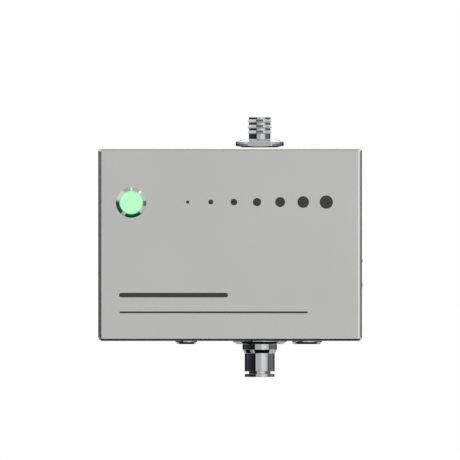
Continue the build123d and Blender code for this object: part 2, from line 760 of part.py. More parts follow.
# ---------------------------------------------------------------- electronics
PLUG_WIDTH, PLUG_RISE, PLUG_LENGTH = 7.0, 6.0, 5.0
CABLE_Y = BOARD_FACE - PLUG_RISE / 2
LAMP_PLUG = (-46.0, 4.0)
LASER_PLUG = (-37.0, 1.5)
POWER_PLUG = (-12.0, 6.0)
DATA_PLUG = (36.95, 2.0)
SENSOR_PLUG = (48.0, -5.5)


def on_board(x, z):
    """A place on the main board's front face, pointing to the front."""
    return Pos(x, BOARD_FACE, z) * TO_FRONT


def make_board():
    """The main board on four standoffs, with its chips, capacitors and plugs."""
    board = facing_rear(RectangleRounded(104, 70, 2), BOARD_BACK, BOARD)
    for x, z in standoff_places:
        board -= facing_rear(Pos(x, z) * Circle(1.6), BOARD_BACK, BOARD)
    standoff = turned(
        (0, 0),
        (2.75, 0),
        (2.75, STANDOFF_LENGTH),
        (1.5, STANDOFF_LENGTH),
        (1.5, 1.5),
        (0, 1.5),
    )
    screw = pan_screw(1.5 - THREAD_GAP, 6.0, 2.75, 1.8, 2.0)
    chip_sizes = {
        (-24, 13): (14, 14, 1.4),
        (-28, -4): (8, 5, 1.2),
        (-8, -20): (10, 7, 1.6),
        (14, -4): (7, 7, 1.2),
        (30, -22): (8, 8, 2.6),
    }
    chips = [
        on_board(*place) * Pos(0, 0, size[2] / 2) * Box(*size)
        for place, size in chip_sizes.items()
    ]
    can = turned((0, 0), (3.3, 0), (3.3, 7.6), (3.0, 8.0), (0, 8.0))
    plug = block((-PLUG_WIDTH / 2, PLUG_WIDTH / 2), (-PLUG_LENGTH / 2, PLUG_LENGTH / 2), (0, PLUG_RISE))
    plug = chamfer(plug.edges().filter_by(Axis.Z), 0.6)
    plug_places = (LAMP_PLUG, LASER_PLUG, POWER_PLUG, DATA_PLUG, SENSOR_PLUG)
    parts["main_board"] = board
    parts["board_standoffs"] = copies(TO_FRONT * standoff, [(x, -PLATE, z) for x, z in standoff_places])
    parts["board_screws"] = Compound(children=[on_board(*place) * screw for place in standoff_places])
    parts["board_chips"] = Compound(children=chips)
    parts["board_capacitors"] = Compound(children=[on_board(x, -24) * can for x in (-44, -36, -28)])
    parts["board_plugs"] = Compound(children=[on_board(*place) * plug for place in plug_places])


def make_leads():
    """The cable from each device to its plug, straight out of both along their axes."""
    half = PLUG_LENGTH / 2
    plug_x, plug_z = LAMP_PLUG[0], LAMP_PLUG[1] + half
    lead(
        "lamp_lead",
        2.2,
        (LAMP_X, FRONT + LAMP_LENGTH + 3, LAMP_Z),
        (LAMP_X, CABLE_Y - 5.5, LAMP_Z),
        (plug_x, CABLE_Y, LAMP_Z - 5.5),
        (plug_x, CABLE_Y, plug_z),
    )
    plug_x, plug_z = LASER_PLUG[0], LASER_PLUG[1] + half
    lead(
        "laser_lead",
        2.0,
        (BLOCK_X[0] + LASER_DEPTH - 26, FLOW_Y, BEAM_Z),
        (BLOCK_X[0] + LASER_DEPTH - 33, FLOW_Y, BEAM_Z),
        (-35.5, -23.5, 22.5),
        (-37.5, -17.5, 18),
        (plug_x, CABLE_Y, 11),
        (plug_x, CABLE_Y, plug_z),
    )
    plug_x, plug_z = POWER_PLUG[0], POWER_PLUG[1] - half
    lead(
        "power_lead",
        2 * POWER_CABLE,
        (POWER_X, FLOW_Y, SOCKET_TOP + SOCKET_NOSE),
        (POWER_X, FLOW_Y, -19),
        (plug_x, CABLE_Y, -7.7),
        (plug_x, CABLE_Y, plug_z),
    )
    plug_x, plug_z = DATA_PLUG[0], DATA_PLUG[1] - half
    lead(
        "data_lead",
        2 * DATA_CABLE,
        (DATA_X, FLOW_Y, SOCKET_TOP + SOCKET_NOSE),
        (DATA_X, FLOW_Y, -20.2),
        (plug_x, CABLE_Y, -10.3),
        (plug_x, CABLE_Y, plug_z),
    )
    plug_x, plug_z = SENSOR_PLUG[0], SENSOR_PLUG[1] + half
    lead(
        "sensor_lead",
        1.6,
        (50, SENSOR_Y[1], 6),
        (50, CABLE_Y - 3.3, 6),
        (plug_x, CABLE_Y, 2.7),
        (plug_x, CABLE_Y, plug_z),
    )


make_board()
make_leads()

# ---------------------------------------------------------------- files
os.makedirs("parts", exist_ok=True)
for name, shape in parts.items():
    export_step(shape, f"parts/{name}.step")
print(len(parts), "nodes")
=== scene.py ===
# %% [markdown]
# # A remote airborne particle counter
#
# This lesson dresses a small wall-mounted instrument: a bead-blasted metal box, a barbed
# sample inlet on top, a push-in vacuum outlet and two cable sockets underneath, and a lit
# lamp on the front. The engineering model already gives every piece its size and place.
# What is left for Blender is how the pieces look: crisp plated turnings with softened
# edges, real threads, a satin box, and a studio that metal can reflect.
#
# Almost every piece that shows was cut on a lathe, so one idea carries the whole lesson: a
# surface is a function of two parameters, how far along a profile and how far round the
# axis. Worked out as whole numpy arrays, that is fast and exact.

import json

import bmesh
import bpy
import numpy as np
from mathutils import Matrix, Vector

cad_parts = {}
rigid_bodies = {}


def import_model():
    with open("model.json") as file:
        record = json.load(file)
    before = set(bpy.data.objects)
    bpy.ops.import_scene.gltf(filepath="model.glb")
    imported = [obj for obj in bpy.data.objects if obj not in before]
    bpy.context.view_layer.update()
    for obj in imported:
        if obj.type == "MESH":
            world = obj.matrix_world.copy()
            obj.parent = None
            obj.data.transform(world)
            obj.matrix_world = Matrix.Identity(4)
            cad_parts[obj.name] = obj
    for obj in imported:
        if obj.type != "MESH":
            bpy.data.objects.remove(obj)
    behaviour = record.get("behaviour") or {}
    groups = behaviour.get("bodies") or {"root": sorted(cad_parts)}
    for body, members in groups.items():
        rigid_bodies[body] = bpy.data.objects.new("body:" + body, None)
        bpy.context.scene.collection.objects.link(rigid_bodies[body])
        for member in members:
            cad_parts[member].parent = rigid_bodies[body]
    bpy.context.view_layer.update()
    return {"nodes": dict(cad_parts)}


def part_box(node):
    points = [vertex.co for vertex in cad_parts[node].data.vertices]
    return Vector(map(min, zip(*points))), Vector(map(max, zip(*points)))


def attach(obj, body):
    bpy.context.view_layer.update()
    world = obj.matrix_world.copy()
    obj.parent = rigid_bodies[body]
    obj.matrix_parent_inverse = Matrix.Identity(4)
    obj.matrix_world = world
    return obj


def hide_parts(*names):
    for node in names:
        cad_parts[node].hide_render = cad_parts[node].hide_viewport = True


for leftover in list(bpy.data.objects):
    bpy.data.objects.remove(leftover)
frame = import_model()

# %% [markdown]
# ## From a grid of points to a closed piece
#
# A turned piece could be made with Blender's Spin or Screw tools. A grid is simpler to
# reason about: rows run along the profile, columns run round the axis, and each cell of
# the grid is one face. Where a profile touches the axis its whole row is one point, so
# the doubles are merged there, which closes the pole. Normals are then turned outwards,
# and faces are shaded smoothly except where two meet at more than 40 degrees.

# %% A piece from a grid
MM = 0.001
WELD = 1e-7  # metres; points closer than this are one point


def grid_faces(rows, columns, rows_join, columns_join):
    """Point numbers of each cell: (r, c), (r, c+1), (r+1, c+1), (r+1, c)."""
    index = np.arange(rows * columns).reshape(rows, columns)
    if rows_join:
        index = np.vstack([index, index[:1]])
    if columns_join:
        index = np.hstack([index, index[:, :1]])
    corners = (index[:-1, :-1], index[:-1, 1:], index[1:, 1:], index[1:, :-1])
    return np.stack(corners, axis=-1).reshape(-1, 4)


def mesh_from_grids(name, grids, rows_join=False):
    """One mesh from several grids of points (row, column, 3) in millimetres."""
    points, faces, first = [], [], 0
    for grid in grids:
        rows, columns = grid.shape[:2]
        faces.append(first + grid_faces(rows, columns, rows_join, True))
        points.append(grid.reshape(-1, 3))
        first += rows * columns
    mesh = bpy.data.meshes.new(name)
    mesh.from_pydata((np.vstack(points) * MM).tolist(), [], np.vstack(faces).tolist())
    shape = bmesh.new()
    shape.from_mesh(mesh)
    bmesh.ops.remove_doubles(shape, verts=shape.verts, dist=WELD)
    bmesh.ops.dissolve_degenerate(shape, edges=shape.edges, dist=WELD)
    bmesh.ops.recalc_face_normals(shape, faces=shape.faces)
    shape.to_mesh(mesh)
    shape.free()
    mesh.shade_smooth()
    mesh.set_sharp_from_angle(angle=np.radians(40))
    return mesh


def add_piece(mesh, material, slot, body, *nodes):
    """An object for the mesh, with its finish, riding on its body in place of its nodes."""
    piece = bpy.data.objects.new(mesh.name, mesh)
    bpy.context.collection.objects.link(piece)
    mesh.materials.append(material)
    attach(piece, body)
    if nodes:
        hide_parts(*nodes)
    print(f"{piece.name}: {len(mesh.polygons)} faces")
    return piece


# %% [markdown]
# ## Profiles with softened corners
#
# No turned edge is perfectly sharp: the tool's nose and the polishing before plating
# leave it rounded by a tenth of a millimetre or so, and that tiny curve is what catches
# the light. A Bevel modifier would do it, but it needs clean edges to work on. Here the
# profile itself is rounded before it becomes a surface. Each corner carries its own
# reach, the distance at which the curve leaves the two straight sides.
#
# A mirror finish shows how the normals run between the points. The last point of a
# straight side shares its normal with the curve, and on a long side that tilt would
# spread right along it. A holding point just outside each curve keeps it there.
#
# The profile has one column for each angle, so a corner may move with the angle. That is
# how the same function later makes flats and hexagons.

# %% Round a profile and carry it round the axis
CORNER_STEPS = 4
HOLD = 0.06
ROUND = np.linspace(-np.pi, np.pi, 180, endpoint=False)


def profile_of(corners, angles=ROUND):
    """Corners (radius, height, reach), numbers or one value per angle, as an array."""
    flat = [[np.broadcast_to(value, angles.shape) for value in corner] for corner in corners]
    return np.array(flat, float).transpose(0, 2, 1)


def rounded(profile):
    """Each corner C becomes (1-s)^2 A + 2s(1-s) C + s^2 B, with s from 0 to 1.

    A and B lie on the two sides that meet at C, at the corner's reach from it, or at 0.45
    of the shorter side where that is less. The holding points are up to HOLD further out.
    """
    corner, reach = profile[..., :2], profile[..., 2:]
    to_last = np.roll(corner, 1, axis=0) - corner
    to_next = np.roll(corner, -1, axis=0) - corner
    last_length = np.linalg.norm(to_last, axis=-1, keepdims=True)
    next_length = np.linalg.norm(to_next, axis=-1, keepdims=True)
    reach = np.minimum(reach, 0.45 * np.minimum(last_length, next_length))
    start = corner + to_last * reach / last_length
    end = corner + to_next * reach / next_length
    s = np.linspace(0, 1, CORNER_STEPS + 1).reshape(-1, 1, 1, 1)
    curve = (1 - s) ** 2 * start + 2 * s * (1 - s) * corner + s**2 * end
    last_hold = np.minimum(HOLD, 0.4 * (last_length / 2 - reach)) * (reach > 0)
    next_hold = np.minimum(HOLD, 0.4 * (next_length / 2 - reach)) * (reach > 0)
    before = start + to_last * last_hold / last_length
    after = end + to_next * next_hold / next_length
    points = np.concatenate([before[None], curve, after[None]])
    return points.transpose(1, 0, 2, 3).reshape(-1, *corner.shape[1:])


def carried_round(profile, angles=ROUND):
    """x = radius cos(angle), y = radius sin(angle), z = height."""
    radius, height = profile[..., 0], profile[..., 1]
    return np.stack([radius * np.cos(angles), radius * np.sin(angles), height], axis=-1)


print("a circle of 7 mm strays", round(7 * (1 - np.cos(np.pi / len(ROUND))), 4), "mm from its chords")

# %% [markdown]
# ## Putting a piece where it goes
#
# Each piece is worked out standing on its own axis. Three swaps of coordinates lay it
# towards the front, the back or the right, and one sum puts it in place. The object
# itself stays at the origin, unturned, so patterns on Object coordinates stay put.

# %% Turn and place
def towards(direction, points):
    """Standing points turned so that their height runs in the named direction."""
    x, y, z = np.moveaxis(points, -1, 0)
    turns = {"up": (x, y, z), "front": (x, -z, y), "rear": (x, z, -y), "right": (z, y, -x)}
    return np.stack(turns[direction], axis=-1)


def centre_of(node):
    """The middle of a node's box, in millimetres."""
    low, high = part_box(node)
    return (np.array(low) + np.array(high)) / 2 / MM


FLOW = centre_of("outlet_body") * (1, 1, 0)
POWER = centre_of("power_socket_shell") * (1, 1, 0)
DATA = centre_of("data_socket_shell") * (1, 1, 0)
LAMP = centre_of("lamp_bezel")
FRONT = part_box("front_housing")[0].y / MM
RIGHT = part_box("front_housing")[1].x / MM
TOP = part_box("front_housing")[1].z / MM
LAMP[1] = FRONT
print("air axis", FLOW.round(2), "lamp", LAMP.round(2), "front", round(FRONT, 2), "top", round(TOP, 2))

# %% [markdown]
# ## Bright plating
#
# The fittings, the lamp's bezel and the socket rings are brass with a bright nickel and
# chrome plating. Plating is a mirror with a slight grey-blue cast, so nearly all of its
# look is what it reflects. What keeps it from looking like a computer's mirror is small:
# the polish varies a little from place to place, and turning leaves faint waves. Both
# come from noise on Object coordinates, one driving roughness, one a very low bump.

# %% The finish helpers and the plating
def finish(name, **settings):
    """A material whose Principled BSDF has these settings on its own sockets."""
    material = bpy.data.materials.new(name)
    material.use_nodes = True
    shader = material.node_tree.nodes["Principled BSDF"]
    for setting, value in settings.items():
        shader.inputs[setting.replace("_", " ").title().replace("Ior", "IOR")].default_value = value
    return material


def noise(material, scale, detail=3.0, stretch=(1, 1, 1)):
    """Noise on Object coordinates: scale is in patches per metre."""
    nodes, links = material.node_tree.nodes, material.node_tree.links
    place = nodes.new("ShaderNodeTexCoord")
    mapping = nodes.new("ShaderNodeMapping")
    mapping.inputs["Scale"].default_value = stretch
    texture = nodes.new("ShaderNodeTexNoise")
    texture.inputs["Scale"].default_value = scale
    texture.inputs["Detail"].default_value = detail
    links.new(place.outputs["Object"], mapping.inputs["Vector"])
    links.new(mapping.outputs["Vector"], texture.inputs["Vector"])
    return texture.outputs["Fac"]


def spread(material, source, low, high, socket):
    """Drives a socket from low to high as the source goes from 0.3 to 0.7."""
    nodes, links = material.node_tree.nodes, material.node_tree.links
    span = nodes.new("ShaderNodeMapRange")
    span.inputs["From Min"].default_value = 0.3
    span.inputs["From Max"].default_value = 0.7
    span.inputs["To Min"].default_value = low
    span.inputs["To Max"].default_value = high
    links.new(source, span.inputs["Value"])
    links.new(span.outputs["Result"], nodes["Principled BSDF"].inputs[socket])


def mottle(material, source, dark, light):
    """Drives the base colour between two colours."""
    nodes, links = material.node_tree.nodes, material.node_tree.links
    ramp = nodes.new("ShaderNodeValToRGB")
    ramp.color_ramp.elements[0].position = 0.3
    ramp.color_ramp.elements[1].position = 0.7
    ramp.color_ramp.elements[0].color = (*dark, 1)
    ramp.color_ramp.elements[1].color = (*light, 1)
    links.new(source, ramp.inputs["Fac"])
    links.new(ramp.outputs["Color"], nodes["Principled BSDF"].inputs["Base Color"])


def relief(material, source, height):
    """A bump of that height in metres."""
    nodes, links = material.node_tree.nodes, material.node_tree.links
    bump = nodes.new("ShaderNodeBump")
    bump.inputs["Distance"].default_value = height
    bump.inputs["Strength"].default_value = 1.0
    links.new(source, bump.inputs["Height"])
    links.new(bump.outputs["Normal"], nodes["Principled BSDF"].inputs["Normal"])


plating = finish("bright_plating", metallic=1.0)
mottle(plating, noise(plating, 60), (0.60, 0.61, 0.635), (0.635, 0.645, 0.665))
spread(plating, noise(plating, 250), 0.03, 0.055, "Roughness")
relief(plating, noise(plating, 900, 2), 1.5e-6)
print("plating made of", len(plating.node_tree.nodes), "nodes")

# %% [markdown]
# ## The inlet: flats on a lathe profile
#
# The sample hose pushes over three barbs, and a spanner turns the fitting by two flats
# milled on its round flange. The flats could be cut with a Boolean, which leaves messy
# faces where they meet the chamfers. A flat has a formula, though: seen from the axis it
# lies at half the size across flats divided by the sine of the angle. Each outer corner
# of the flange stops there, and slides along its chamfer as it does, which draws the
# curved line where flat and chamfer meet. The rim between them is very slightly
# barrelled, as polishing leaves it.

# %% The flats' radius, and the flange
FINE = np.linspace(-np.pi, np.pi, 360, endpoint=False)
ACROSS_FLATS = 20.1
INLET_SEAL = 8.7


def cut_by_flats(radius):
    """The radius, or the distance to the flat where that is less."""
    return np.minimum(radius, ACROSS_FLATS / 2 / np.maximum(np.abs(np.sin(FINE)), 0.1))


def on_chamfer(radius, inner, outer):
    """A corner at the cut radius, on the straight line from inner to outer."""
    part = (cut_by_flats(radius) - inner[0]) / (outer[0] - inner[0])
    return cut_by_flats(radius), inner[1] + part * (outer[1] - inner[1])


FLANGE_TOP = TOP + 3.9
base_corner = on_chamfer(11.62, (8.9, TOP + 0.2), (11.62, TOP + 0.64))
top_corner = on_chamfer(11.46, (7.2, FLANGE_TOP), (11.46, TOP + 2.75))
on_flat = cut_by_flats(11.46) < 11.46
flange = [
    (8.9, TOP + 0.2, 0.05),
    (*base_corner, 0.1),
    (cut_by_flats(11.59), TOP + 1.7, 0.9),
    (*top_corner, np.where(on_flat, 0.45, 0.15)),
    (7.2, FLANGE_TOP, 0.1),
]
print("the flats are", round(2 * float(np.sqrt(11.6**2 - (ACROSS_FLATS / 2) ** 2)), 1), "mm wide")

# %% [markdown]
# Hose barbs are a repeating profile: a short land, a flare that stretches the hose, a
# crest, and a steep step that bites. Three of them follow from one list.

# %% The barbs, a thread, and the whole inlet
STEM, CREST, PITCH = 5.2, 5.75, 2.67
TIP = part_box("inlet_fitting")[1].z / MM


def barbs():
    """Corners of three barbs from the lowest step up to the tip."""
    corners = []
    for number in (2, 1, 0):
        flare_top = TIP - 1.1 - number * PITCH
        corners += [
            (STEM, flare_top - 1.6, 0.04),
            (CREST, flare_top - 1.27, 0.08),
            (CREST, flare_top - 1.1, 0.08),
            (STEM, flare_top - 0.02, 0.04),
        ]
    return corners


def thread(profile, angles, radius, low, high, pitch, depth):
    """A helical groove along a cylindrical stretch of a profile.

    Between low and high the radius gains depth times a triangle wave of
    height / pitch - angle / turn, which fades out over one pitch at both ends.
    """
    height = profile[..., 1]
    on_wall = np.isclose(profile[..., 0], radius, atol=0.001) & (height > low) & (height < high)
    phase = height / pitch - angles / (2 * np.pi)
    wave = np.abs(2 * (phase % 1) - 1)
    fade = np.clip(np.minimum(height - low, high - height) / pitch, 0, 1)
    profile[..., 0] += np.where(on_wall, depth * wave * fade, 0)
    return profile


def wall(radius, start, end, spacing):
    """Corners along a cylinder, close enough together for a thread."""
    count = int(abs(end - start) / spacing) + 1
    return [(radius, height, 0) for height in np.linspace(start, end, count)]


STUB_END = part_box("inlet_fitting")[0].z / MM
inlet_profile = profile_of(
    [(3.6, STUB_END, 0.1), (3.6, TIP, 0.25), (STEM, TIP, 0.15)]
    + barbs()[::-1]
    + [(STEM, FLANGE_TOP, 0.15)]
    + flange[::-1]
    + [(INLET_SEAL, TOP + 0.2, 0.03), (INLET_SEAL, TOP + 1, 0.05), (7.2, TOP + 1, 0.1)]
    + [(7.2, TOP, 0.05), (5, TOP, 0.05)]
    + wall(5, TOP - 0.4, STUB_END + 0.4, 0.15)
    + [(5, STUB_END, 0.3)],
    FINE,
)
inlet_profile = thread(rounded(inlet_profile), FINE, 5, STUB_END + 0.4, TOP - 2.5, 1.0, -0.55)
inlet_mesh = mesh_from_grids("inlet", [carried_round(inlet_profile, FINE) + FLOW], rows_join=True)
add_piece(inlet_mesh, plating, "plated_metal", "counter", "inlet_fitting")

# %% [markdown]
# ## The outlet: a push-in tube fitting
#
# The vacuum tube pushes through the loose ring, past the collet's claws and through a
# lip seal until it meets its stop. Pressing the ring opens the claws. The body is one
# long turning, inside and out, so its profile closes on itself like the inlet's.

# %% The outlet's body
low, high = (corner.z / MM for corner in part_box("outlet_body"))
outlet_profile = profile_of(
    [
        # up the bore, from the tube's stop to the barrel's end inside the box
        (3, -41.9, 0.1),
        (3.5, -41.9, 0.05),
        (3.5, -38.4, 0.1),
        (5.05, -38.4, 0.1),
        (5.05, high, 0.2),
        # down the barrel, round the seal's groove and out to the flange
        (6.5, high, 0.3),
        (6.5, -TOP, 0.05),
        (9.6, -TOP, 0.05),
        (9.6, -TOP - 1, 0.1),
        (11.2, -TOP - 1, 0.1),
        (11.2, -TOP, 0.05),
        (12.95, -TOP, 0.05),
        (12.95, -TOP - 0.32, 0.1),
        (11, -48.1, 0.2),
        # the collar, and the sleeve that the ring slides in
        (8.3, -48.1, 0.12),
        (8.3, -50.7, 0.1),
        (7.24, -52.6, 0.12),
        (7.24, low, 0.22),
        (6.2, low, 0.1),
        (6.2, -50.5, 0.1),
        # back up the bore, past the collet's guide to the tube's stop
        (4.08, -50.5, 0.15),
        (4.08, -47.4, 0.1),
        (3, -47.4, 0.1),
    ]
)
outlet_mesh = mesh_from_grids("outlet", [carried_round(rounded(outlet_profile)) + FLOW], rows_join=True)
add_piece(outlet_mesh, plating, "plated_metal", "counter", "outlet_body")

# %% [markdown]
# The release ring is turned too, but its upper end is slit into six claws that spring.
# A slit can't be had from a full turn, so the claws are made the same way over a part of
# the turn, with a flat face at each end, and they stand on the turned flange and neck.

# %% The release ring and its claws
RING_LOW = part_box("release_ring")[0].z / MM
CLAW_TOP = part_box("release_ring")[1].z / MM
SLIT_BASE = CLAW_TOP - 4.3
ring_profile = profile_of(
    [
        (4.08, RING_LOW + 0.5, 0.1),
        (4.58, RING_LOW, 0.1),
        (7.15, RING_LOW, 0.22),
        (7.15, RING_LOW + 1.55, 0.18),
        (5.2, RING_LOW + 1.55, 0.1),
        (5.2, SLIT_BASE, 0),
        (4.08, SLIT_BASE, 0),
    ]
)
claw_corners = [
    (4.08, SLIT_BASE, 0),
    (5.2, SLIT_BASE, 0),
    (5.2, CLAW_TOP - 3.3, 0.05),
    (5.45, CLAW_TOP - 2.8, 0.05),
    (6, CLAW_TOP - 2.8, 0.1),
    (6, CLAW_TOP - 1.2, 0.2),
    (5.2, CLAW_TOP, 0.1),
    (4.08, CLAW_TOP, 0.15),
]


def claw(middle):
    """One claw: the profile over 60 degrees less the slit, closed at both ends.

    At each radius the slit takes the angle whose sine is half its width over the radius,
    so its two sides are parallel. The end columns are pulled to the profile's middle.
    """
    across = np.linspace(-1, 1, 14)
    outline = rounded(profile_of(claw_corners, across))
    half = np.pi / 6 - np.arcsin(0.45 / outline[..., 0])
    points = carried_round(outline, middle + across * half)
    ends = points[:, [0, -1]].mean(axis=0)
    first = np.broadcast_to(ends[0], (len(points), 1, 3))
    last = np.broadcast_to(ends[1], (len(points), 1, 3))
    return np.concatenate([first, points, last], axis=1).transpose(1, 0, 2)


claws = [claw((2 * number + 1) * np.pi / 6) + FLOW for number in range(6)]
ring = carried_round(rounded(ring_profile)) + FLOW
ring_mesh = mesh_from_grids("release_ring_flange", [ring], rows_join=True)
add_piece(ring_mesh, plating, "plated_metal", "release_ring", "release_ring")
claws_mesh = mesh_from_grids("release_ring_claws", claws)
add_piece(claws_mesh, plating, "plated_metal", "release_ring", "release_ring")

# %% [markdown]
# ## The two cable sockets
#
# Each socket is a plated ring with a fine inside thread that the plug's sleeve screws
# into, round a moulded insert that holds the contacts. The thread is the inlet's
# formula with the groove cut outwards.

# %% The sockets' rings
WEB_LOW, WEB_HIGH = -39.9, -38.4
SOCKET_FACE, SOCKET_TOP = (corner.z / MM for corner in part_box("power_socket_shell"))


def socket_ring(name, axis, flange, body, bore, neck, node):
    """A turned ring with its flange below the box and its barrel inside it."""
    rear_bore = body - 1.2
    profile = rounded(
        profile_of(
            [(bore + 0.3, SOCKET_FACE, 0.08)]
            + wall(bore, SOCKET_FACE + 0.3, WEB_LOW, 0.12)
            + [
                (neck, WEB_LOW, 0.05),
                (neck, WEB_HIGH, 0.05),
                (rear_bore, WEB_HIGH, 0.1),
                (rear_bore, SOCKET_TOP, 0.1),
                (body, SOCKET_TOP, 0.25),
                (body, -TOP, 0.05),
                (flange, -TOP, 0.05),
                (flange, SOCKET_FACE + 1, 0.08),
                (flange - 1, SOCKET_FACE, 0.08),
            ]
        )
    )
    profile = thread(profile, ROUND, bore, SOCKET_FACE + 0.31, WEB_LOW - 1, 1.0, 0.5)
    mesh = mesh_from_grids(name, [carried_round(profile) + axis], rows_join=True)
    add_piece(mesh, plating, "plated_metal", "counter", node)


socket_ring("power_ring", POWER, 5.2, 4.4, 3.46, 2.9, "power_socket_shell")
socket_ring("data_ring", DATA, 7.25, 6.45, 5.46, 4.45, "data_socket_shell")

# %% [markdown]
# ## The lamp
#
# A panel lamp is a threaded barrel with a bevelled bezel, and a lens that stands a
# little out of it. The bezel's slope faces up, down and sideways at once, so it shows
# the whole studio in a narrow ring. The lens is frosted plastic lit from behind. It
# glows evenly and fades slightly at the rim, where the plastic is further from the
# emitter, and that comes from the distance to the lamp's axis.

# %% Plating with the lens's green light painted on as a glow
LENS_SEAT = 5.45  # inner radius of the bezel


def from_lamp_axis(material):
    """Distance from the lamp's axis, over the radius of the lens's seat."""
    nodes, links = material.node_tree.nodes, material.node_tree.links
    place = nodes.new("ShaderNodeTexCoord")
    centred = nodes.new("ShaderNodeVectorMath")
    centred.operation = "SUBTRACT"
    centred.inputs[1].default_value = (LAMP * MM).tolist()
    flat = nodes.new("ShaderNodeVectorMath")
    flat.operation = "MULTIPLY"
    flat.inputs[1].default_value = (1 / (LENS_SEAT * MM), 0, 1 / (LENS_SEAT * MM))
    length = nodes.new("ShaderNodeVectorMath")
    length.operation = "LENGTH"
    links.new(place.outputs["Object"], centred.inputs[0])
    links.new(centred.outputs["Vector"], flat.inputs[0])
    links.new(flat.outputs["Vector"], length.inputs[0])
    return length.outputs["Value"]


def glowing(material, stops, strength):
    """Emission whose colour runs through stops of (position, colour) out from the axis.

    Position 0.5 is the seat's radius and 1 is twice that.
    """
    nodes, links = material.node_tree.nodes, material.node_tree.links
    ramp = nodes.new("ShaderNodeValToRGB")
    first, last = ramp.color_ramp.elements
    first.position, first.color = stops[0][0], (*stops[0][1], 1)
    last.position, last.color = stops[-1][0], (*stops[-1][1], 1)
    for position, colour in stops[1:-1]:
        ramp.color_ramp.elements.new(position).color = (*colour, 1)
    scaled = nodes.new("ShaderNodeMath")
    scaled.operation = "MULTIPLY"
    scaled.inputs[1].default_value = 0.5
    links.new(from_lamp_axis(material), scaled.inputs[0])
    links.new(scaled.outputs["Value"], ramp.inputs["Fac"])
    links.new(ramp.outputs["Color"], nodes["Principled BSDF"].inputs["Emission Color"])
    nodes["Principled BSDF"].inputs["Emission Strength"].default_value = strength


# Painted glow: the bezel's plating gets a green emission that fades out from the lens. It stands in for
# the lens's light reflected in the bezel, and the bezel is not a lamp.
painted_glow_plating = plating.copy()
painted_glow_plating.name = "plating_with_painted_glow"
painted_green_glow = [(0.50, (0.006, 0.150, 0.016)), (0.60, (0.002, 0.050, 0.006)), (0.68, (0, 0.006, 0.001))]
glowing(painted_glow_plating, painted_green_glow, 1.0)
print("the glow fades out", round(painted_green_glow[-1][0] * 2 * LENS_SEAT, 1), "mm from the axis")

# %% The bezel and its barrel
LAMP_LOW = -22.0
bezel_profile = profile_of(
    [
        (LENS_SEAT, -1.2, 0.05),
        (LENS_SEAT, 1.5, 0.12),
        (5.65, 1.5, 0.12),
        (7.35, 0.3, 0.2),
        (7.35, 0, 0.05),
        (6, 0, 0.05),
    ]
    + wall(6, -1, LAMP_LOW + 0.4, 0.12)
    + [(6, LAMP_LOW, 0.3), (4.85, LAMP_LOW, 0.1), (4.85, -1.2, 0.05)]
)
bezel_profile = thread(rounded(bezel_profile), ROUND, 6, LAMP_LOW + 0.4, -2, 1.0, -0.55)
bezel_points = towards("front", carried_round(bezel_profile)) + LAMP
bezel_mesh = mesh_from_grids("bezel", [bezel_points], rows_join=True)
add_piece(bezel_mesh, painted_glow_plating, "plated_metal", "counter", "lamp_bezel")

# %% The lens and its glow
GLOW = (0.451, 1.0, 0.546)
lit_lens = finish("lit_lens", base_color=(0.05, 0.11, 0.06, 1), roughness=0.35, coat_weight=0.15)
even = [(0.0, GLOW), (0.45, GLOW), (0.49, (0.36, 0.92, 0.45)), (0.5, (0.30, 0.80, 0.38))]
glowing(lit_lens, even, 0.93)
lens_profile = profile_of(
    [
        (0, -6, 0),
        (4.85, -6, 0.2),
        (4.85, -1.2, 0.05),
        (LENS_SEAT - 0.01, -1.2, 0.05),
        (LENS_SEAT - 0.01, 1.95, 0.3),
        (2.5, 2.0, 0.5),
        (0, 2.0, 0),
    ]
)
lens_points = towards("front", carried_round(rounded(lens_profile))) + LAMP
add_piece(mesh_from_grids("lens", [lens_points]), lit_lens, "lamp_green", "counter", "lamp_lens")

# %% [markdown]
# ## Screws with a hexagon socket
#
# The two dome screws in the right wall and the six countersunk ones at the back are
# stainless steel. A screw head is again one profile: out along the socket's floor, up
# its hexagonal wall, over the head and down the shank. Only the socket's corners use
# the hexagon's radius. The dome stands in the middle of a rim that is nearly flush, so
# from the side it makes a very small bump. Steel is darker and rougher than plating.

# %% Steel, and the screws
steel = finish("stainless_steel", metallic=1.0)
mottle(steel, noise(steel, 300), (0.50, 0.49, 0.48), (0.58, 0.57, 0.56))
spread(steel, noise(steel, 1500), 0.22, 0.34, "Roughness")
relief(steel, noise(steel, 4000, 2), 2e-6)


HEAD, RIM = 1.9, 0.02  # radius of the head, and thickness of its rim
DOME, DOME_FOOT, DOME_RISE = 0.8, 0.08, 0.3


def dome(radius):
    """Height of a sphere's cap that rises DOME_RISE over a circle of radius DOME."""
    sphere = (DOME**2 + DOME_RISE**2) / (2 * DOME_RISE)
    return DOME_FOOT + np.sqrt(sphere**2 - radius**2) - sphere + DOME_RISE


def hexagon(across_flats):
    """Half the size across flats over the cosine of the angle from a flat's middle."""
    from_flat = ROUND % (np.pi / 3) - np.pi / 6
    return np.minimum(across_flats / 2 / np.cos(from_flat), 0.985 * across_flats / np.sqrt(3))


socket_wall = hexagon(0.9)
dome_rings = [socket_wall + (DOME - socket_wall) * part for part in np.linspace(0, 1, 5)]
dome_profile = profile_of(
    [(0, -0.6, 0), (socket_wall, -0.6, 0.03), (socket_wall, dome(socket_wall), 0.05)]
    + [(ring, dome(ring), 0) for ring in dome_rings[1:]]
    + [(HEAD, RIM, 0.02), (HEAD, 0, 0), (0.95, 0, 0), (0.95, -5.5, 0.2), (0, -5.5, 0)]
)
side_low, side_high = (corner.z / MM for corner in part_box("side_screws"))
side_y = centre_of("side_screws")[1]
side_places = [(RIGHT, side_y, side_low + HEAD), (RIGHT, side_y, side_high - HEAD)]
side_points = [towards("right", carried_round(rounded(dome_profile))) + place for place in side_places]
add_piece(mesh_from_grids("dome_screws", side_points), steel, "steel", "counter", "side_screws")

